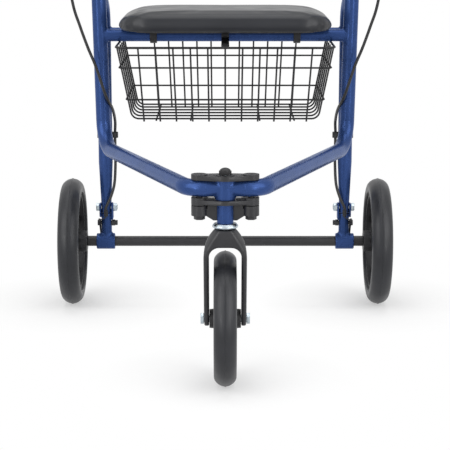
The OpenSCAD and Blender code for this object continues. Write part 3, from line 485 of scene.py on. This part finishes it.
# Grips: (radius, along) points of the collar and the round end, and of a ring, as (below its radius, along)
GRIP_COLLAR = [(9.6, 0.4), (16.6, 0.4), (17.8, 1.6), (17.8, 3.8), (16.2, 6.2), (14.4, 9.5)]
GRIP_END = [
    (14.6, 82), (14.6, 87), (13.8, 91.5), (11.6, 94.6), (6.5, 95.7), (0.2, 95.9), (0.2, 92.6), (9.6, 92.4),
]
RIB = [(0.6, 0), (0, 0.7), (0, 2.6), (0.6, 3.3)]
RIBS, RIB_START, RIB_PITCH, RIB_R, RIB_SWELL, RIB_RISE = 17, 12, 4.0, 14.5, 1.3, 1.25
GRIP_SIDES = 48


def grip(name):
    low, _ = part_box(name)
    line = list(GRIP_COLLAR)
    for i in range(RIBS):
        start = RIB_START + i * RIB_PITCH
        swell = RIB_R + RIB_SWELL * math.sin(math.pi * min(i / RIBS * RIB_RISE, 1))
        line += [(swell - below, start + along) for below, along in RIB]
    line += GRIP_END
    centre = middle(name)
    centre.y = low.y
    piece = new_piece("ringed_" + name, spun(line, centre, Vector((0, 1, 0)), GRIP_SIDES), "grip_rubber")
    return stand_for(smooth(piece, 50), name)


grip("left_grip")
grip("right_grip")

# Brake cables, close to the routes of their solids
CABLE_ROUTE = [
    (198, -23, 858), (198, -33, 858), (206, -45, 855), (215, -60, 842), (222, -86, 800), (229, -108, 720),
    (236, -112, 630), (234, -104, 550), (226, -94, 482), (216, -88, 446), (205, -86, 414), (194, -84, 386),
    (180, -78, 341), (172.5, -50, 318), (171.5, -12, 294), (172.8, 0, 274), (172.8, 0, 254), (172.8, 0, 224),
    (174.5, -4, 194), (179.5, -11, 175), (185.5, -14.2, 162), (188, -14.6, 156), (188, -14.6, 153.2),
]
CABLE_R, CABLE_STEPS, CABLE_SIDES = 2.2, 8, 16


def cable(side_name, side):
    def there(x, y, z):
        return at(side * x, y, z)

    line = [there(*p) for p in eased(CABLE_ROUTE, CABLE_STEPS)]
    rings = tube_rings(line, CABLE_R * MM, CABLE_SIDES)
    piece = smooth(new_piece("smooth_" + side_name + "_cable", ring_mesh(rings, False), "cable"), 50)
    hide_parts(side_name + "_brake_cable")
    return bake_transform(piece)


cable("left", -1)
cable("right", 1)

# Weld fillets, round the line where a tube meets the tube that carries it
WELD_RIPPLES, WELD_RIPPLE, WELD_STEPS = 26, 0.14, 5
WELD_LIFT, WELD_SINK, WELD_CURVE = 0.12, 0.3, (0, .25, .5, .75, 1)
WELD_SIZE, HEAD_WELD_SIZE, AXLE_WELD_SIZE = 2.6, 2.2, 3.2
# How far from the post a tube's line starts, and the sizes of the tubes at the legs and the axle
WELD_START, LEG_THINNER, STUB_START, STUB_R, SLEEVE_R = 40, 0.2, 30, 8.2, 12.5


def weld(start, along, radius, post, axis, post_radius, size=WELD_SIZE):
    """Sections of a fillet where a tube that goes along from start meets a post about an axis."""
    along, axis = along.normalized(), axis.normalized()
    u = along.orthogonal().normalized()
    v = along.cross(u)
    steps = WELD_RIPPLES * WELD_STEPS
    sections = []
    for i in range(steps):
        t = 2 * math.pi * i / steps
        out = math.cos(t) * u + math.sin(t) * v
        p = start + radius * MM * out
        to = p - post
        a, b = along - axis * along.dot(axis), to - axis * to.dot(axis)
        half, gap = a.dot(b), b.length_squared - (post_radius * MM) ** 2
        root = max(half * half - a.length_squared * gap, 0.0)
        crease = p + along * ((-half - math.sqrt(root)) / a.length_squared)
        reach = size * MM * (1 + WELD_RIPPLE * math.cos(WELD_RIPPLES * t))
        on_tube = crease - along * reach
        beside = crease + out * reach
        foot = post + axis * (beside - post).dot(axis)
        on_post = foot + (beside - foot).normalized() * post_radius * MM
        lifted = crease + (out - along) * reach * WELD_LIFT
        curve = [
            (1 - k) ** 2 * on_tube + 2 * k * (1 - k) * lifted + k * k * on_post for k in WELD_CURVE
        ]
        sections.append(curve + [crease + (along - out) * reach * WELD_SINK])
    return sections


def weld_piece(name, make, ceiling=None):
    """The beads on both sides as one piece, cut flat at a ceiling where a plate lies on them."""
    bm = bmesh.new()
    for side in (-1, 1):
        bead = ring_mesh(make(side), True)
        mesh = bpy.data.meshes.new("bead")
        bead.to_mesh(mesh)
        bead.free()
        bm.from_mesh(mesh)
        bpy.data.meshes.remove(mesh)
    if ceiling is not None:
        for v in bm.verts:
            v.co.z = min(v.co.z, ceiling)
    piece = smooth(new_piece(name, bm, "frame_blue"), 80)
    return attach(piece, "frame")


def head_weld(side):
    low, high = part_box("head_sleeve")
    centre = middle("head_sleeve")
    centre.z = high.z - TUBE_R * MM
    start = centre + Vector((side * WELD_START * MM, 0, 0))
    sleeve_r = (high.x - low.x) / 2 / MM
    return weld(start, Vector((-side, 0, 0)), TUBE_R, centre, UP, sleeve_r, HEAD_WELD_SIZE)


def bar_weld(name, side, post_x, post_axis):
    low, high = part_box(name)
    centre = middle(name)
    post = Vector((side * post_x * MM, centre.y, centre.z))
    start = post - Vector((side * WELD_START * MM, 0, 0))
    return weld(start, Vector((side, 0, 0)), (high.z - low.z) / 2 / MM, post, post_axis, TUBE_R)


def leg_weld(side):
    bend = at(side * LEG_X, 0, LEG_BEND_Z)
    top = at(side * upright_x(LEG_TOP_Z), UPRIGHT_Y, LEG_TOP_Z)
    return weld(bend, top - bend, TUBE_R - LEG_THINNER, top, upright_axis(side), TUBE_R)


def axle_weld(side):
    axle = Vector((side * LEG_X * MM, *middle("rear_axle").yz))
    return weld(axle + UP * STUB_START * MM, -UP, STUB_R, axle, Vector((1, 0, 0)), SLEEVE_R, AXLE_WELD_SIZE)


weld_piece("head_welds", head_weld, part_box("head_sleeve")[1].z)
weld_piece("seat_bar_welds", lambda side: bar_weld(
    "seat_bar", side, upright_x(middle("seat_bar").z / MM), upright_axis(side)))
weld_piece("rest_bar_welds", lambda side: bar_weld("seat_rest_bar", side, LEG_X, UP))
weld_piece("leg_welds", leg_weld)
weld_piece("axle_welds", axle_weld)

# Seat cushion, from its board up: (height, inset) of its rows in millimetres, before it is blown up
PAD_ROWS = [
    (0, 11), (0.8, 6.5), (3, 3.2), (7, 2), (11, 2.4), (15, 4), (18.5, 7), (21.6, 12), (24, 18), (25.9, 26),
    (27.1, 36), (27.8, 48), (28.5, 62), (29.2, 84),
]
PAD_CORNER, PAD_CORNER_LEAST, PAD_QUARTER, PAD_DRAWN_IN = 52, 4, 12, 2.0
# Beyond this inset in millimetres the front and back rise by a share of it alone
PAD_UPRIGHT, PAD_STEEP = 3, 0.35
# Cloth run: sizes in metres, with the cap on how far a point moves
PAD_VOXEL, PAD_CAP, PAD_HELD, PAD_FRAMES = 0.004, 0.0012, 0.003, 20
PAD_PRESSURE, PAD_STIFFNESS, PAD_BENDING = 4, 30, 2
# Folds at the corners: where they start and end outwards, as shares of the corner, and upwards, in metres
GATHERS, GATHER_DEPTH, GATHER_OUT = 9, 0.0004, (0.75, 0.95)
GATHER_FOOT, GATHER_TOP = (0.001, 0.006), (0.010, 0.022)


def pad_ring(centre, half, inset):
    """A rounded rectangle, whose front and back rise more steeply than its ends."""
    steep = min(inset, PAD_UPRIGHT + (inset - PAD_UPRIGHT) * PAD_STEEP)
    radius = max(PAD_CORNER - inset, PAD_CORNER_LEAST) * MM
    ring = []
    for quarter in range(4):
        turn = quarter * math.pi / 2
        sign_x = 1 if quarter in (0, 3) else -1
        sign_y = 1 if quarter in (0, 1) else -1
        corner_x = sign_x * (half.x - inset * MM - radius)
        corner_y = sign_y * (half.y - steep * MM - radius)
        for k in range(PAD_QUARTER + 1):
            t = turn + k / PAD_QUARTER * math.pi / 2
            place = Vector((corner_x + radius * math.cos(t), corner_y + radius * math.sin(t), 0))
            ring.append(centre + place)
    return ring


def draw_in(bm, centre, half):
    """Pulls the middle of each side in."""
    for v in bm.verts:
        x, y = (v.co.x - centre.x) / half.x, (v.co.y - centre.y) / half.y
        v.co.x -= x * PAD_DRAWN_IN * MM * max(1 - y * y, 0)
        v.co.y -= y * PAD_DRAWN_IN * MM * max(1 - x * x, 0)


def gather(piece, centre, half, low_z):
    """Small folds of the cover where it is drawn round each corner."""
    radius = PAD_CORNER * MM
    for v in piece.data.vertices:
        out_x = abs(v.co.x - centre.x) - (half.x - radius)
        out_y = abs(v.co.y - centre.y) - (half.y - radius)
        if out_x > 0 and out_y > 0:
            turn = math.atan2(out_y, out_x)
            inner, outer = GATHER_OUT
            edge = eased_step(math.hypot(out_x, out_y), radius * inner, radius * outer)
            height = v.co.z - low_z
            band = eased_step(height, *GATHER_FOOT) * (1 - eased_step(height, *GATHER_TOP))
            fold = math.cos(GATHERS * turn * 2) * math.sin(turn * 2)
            v.co += v.normal * GATHER_DEPTH * fold * edge * band


def blow_up(piece, floor):
    """Cloth under pressure, with its flat bottom held and each point's move capped."""
    rest = [v.co.copy() for v in piece.data.vertices]
    group = piece.vertex_groups.new(name="held")
    group.add([i for i, p in enumerate(rest) if p.z < floor + PAD_HELD], 1.0, "REPLACE")
    cloth = piece.modifiers.new("cover", "CLOTH")
    cloth.settings.use_pressure = True
    cloth.settings.uniform_pressure_force = PAD_PRESSURE
    cloth.settings.tension_stiffness = PAD_STIFFNESS
    cloth.settings.compression_stiffness = PAD_STIFFNESS
    cloth.settings.bending_stiffness = PAD_BENDING
    cloth.settings.vertex_group_mass = "held"
    cloth.settings.effector_weights.gravity = 0
    cloth.point_cache.frame_start, cloth.point_cache.frame_end = 1, PAD_FRAMES
    scene = bpy.context.scene
    for f in range(1, PAD_FRAMES + 1):
        scene.frame_set(f)
    graph = bpy.context.evaluated_depsgraph_get()
    blown = [v.co.copy() for v in piece.evaluated_get(graph).data.vertices]
    piece.modifiers.clear()
    piece.vertex_groups.clear()
    scene.frame_set(1)
    for v, start, end in zip(piece.data.vertices, rest, blown):
        move = end - start
        if move.length > PAD_CAP:
            move *= PAD_CAP / move.length
        v.co = start + move
        v.co.z = max(v.co.z, floor)


def cushion():
    low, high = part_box("seat_cushion")
    centre, half = middle("seat_cushion"), (high - low) / 2
    centre.z = low.z
    rows = [pad_ring(centre + UP * height * MM, half, inset) for height, inset in PAD_ROWS]
    bm = ring_mesh(rows, False)
    draw_in(bm, centre, half)
    piece = remeshed(new_piece("padded_seat", bm, "seat_vinyl"), PAD_VOXEL)
    blow_up(piece, low.z)
    finer = piece.modifiers.new("round", "SUBSURF")
    finer.levels = finer.render_levels = 1
    applied(piece)
    gather(piece, centre, half, low.z)
    return stand_for(smooth(dress(piece, "seat_vinyl"), 70), "seat_cushion")


cushion()

# Camera
camera = bpy.data.cameras.new("camera")
camera.sensor_width = 36
camera.lens = 122.88
camera.shift_x = -0.0005
eye = bpy.data.objects.new("camera", camera)
eye.location = (0, -2.177, 0.625)
eye.rotation_euler = (math.radians(78.19), 0, 0)
bpy.context.scene.collection.objects.link(eye)
bpy.context.scene.camera = eye


# Floor and light


def seen_directly(tree):
    """1 for what the camera, gloss and glass see, and 0 for the light that falls on the object."""
    path = tree.nodes.new("ShaderNodeLightPath").outputs
    seen = math_node(tree, "MAXIMUM", path["Is Camera Ray"], path["Is Glossy Ray"])
    return math_node(tree, "MAXIMUM", seen, path["Is Transmission Ray"])


WORLD_LEVEL = 0.36
world = bpy.data.worlds.new("studio")
world.use_nodes = True
bpy.context.scene.world = world
sky = world.node_tree
back = sky.nodes["Background"]
back.inputs["Color"].default_value = (1, 1, 1, 1)
sky.links.new(spread(sky, seen_directly(sky), WORLD_LEVEL, 1.0, 0.0, 1.0), back.inputs["Strength"])

# The floor shows its rendered shadow round each wheel. Away from the wheels a painted white glow, seen only
# by the camera and gloss, whitens the floor and paints the shadow out.
FLOOR_HALF, FLOOR_DROP = 9.0, 0.0005
# Painted light: distances in metres from the nearest wheel where the glow's share starts to rise and where
# it is full, then its least and most share
PAINTED_GLOW_START, PAINTED_GLOW_FULL, PAINTED_GLOW_LEAST, PAINTED_GLOW_MOST = 0.02, 0.19, 0.42, 1.0


def paper():
    material, tree, surface = shader("paper")
    surface.inputs["Base Color"].default_value = (0.93, 0.93, 0.93, 1)
    surface.inputs["Roughness"].default_value = 0.9
    surface.inputs["Specular IOR Level"].default_value = 0.1
    away = None
    for name in TYRES:
        length = tree.nodes.new("ShaderNodeVectorMath")
        length.operation = "DISTANCE"
        length.inputs[1].default_value = (*middle(name).xy, 0)
        tree.links.new(places(tree), length.inputs[0])
        reach = length.outputs["Value"]
        away = reach if away is None else math_node(tree, "MINIMUM", away, reach)
    # Painted light: the farther a point is from the nearest wheel, the more white glow it gets, so the cast
    # shadow shows only round the wheels
    painted_glow_share = spread(tree, away, PAINTED_GLOW_LEAST, PAINTED_GLOW_MOST, PAINTED_GLOW_START, PAINTED_GLOW_FULL)
    painted_glow = add(tree, "ShaderNodeEmission", Color=(1, 1, 1, 1), Strength=1.0)
    mixed = tree.nodes.new("ShaderNodeMixShader")
    tree.links.new(math_node(tree, "MULTIPLY", painted_glow_share, seen_directly(tree)), mixed.inputs[0])
    tree.links.new(surface.outputs[0], mixed.inputs[1])
    tree.links.new(painted_glow.outputs[0], mixed.inputs[2])
    tree.links.new(mixed.outputs[0], tree.nodes["Material Output"].inputs["Surface"])
    return material


corners = [(-1, -1), (1, -1), (1, 1), (-1, 1)]
floor_mesh = bpy.data.meshes.new("floor")
floor_mesh.from_pydata([(FLOOR_HALF * x, FLOOR_HALF * y, 0) for x, y in corners], [], [(0, 1, 2, 3)])
floor_mesh.materials.append(paper())
floor = bpy.data.objects.new("floor", floor_mesh)
floor.location.z = -FLOOR_DROP
bpy.context.scene.collection.objects.link(floor)


def lamp(name, place, target, size, power):
    data = bpy.data.lights.new(name, "AREA")
    data.shape = "RECTANGLE"
    data.size, data.size_y = size
    data.energy = power
    holder = bpy.data.objects.new(name, data)
    holder.location = place
    holder.rotation_euler = (Vector(target) - Vector(place)).to_track_quat("-Z", "Y").to_euler()
    bpy.context.scene.collection.objects.link(holder)


lamp("top_light", (0, 0.1, 2.8), (0, 0, 0.2), (2.6, 2.2), 34)
lamp("left_light", (-2.2, -1.6, 1.7), (0, 0, 0.3), (2.4, 2.6), 48)
lamp("right_light", (2.2, -1.6, 1.7), (0, 0, 0.3), (2.4, 2.6), 48)
lamp("low_left_light", (-1.6, -2.2, 0.45), (0, 0, 0.3), (0.45, 0.8), 7)
lamp("low_right_light", (1.6, -2.2, 0.45), (0, 0, 0.3), (0.45, 0.8), 7)

bpy.context.scene.view_settings.view_transform = "Standard"
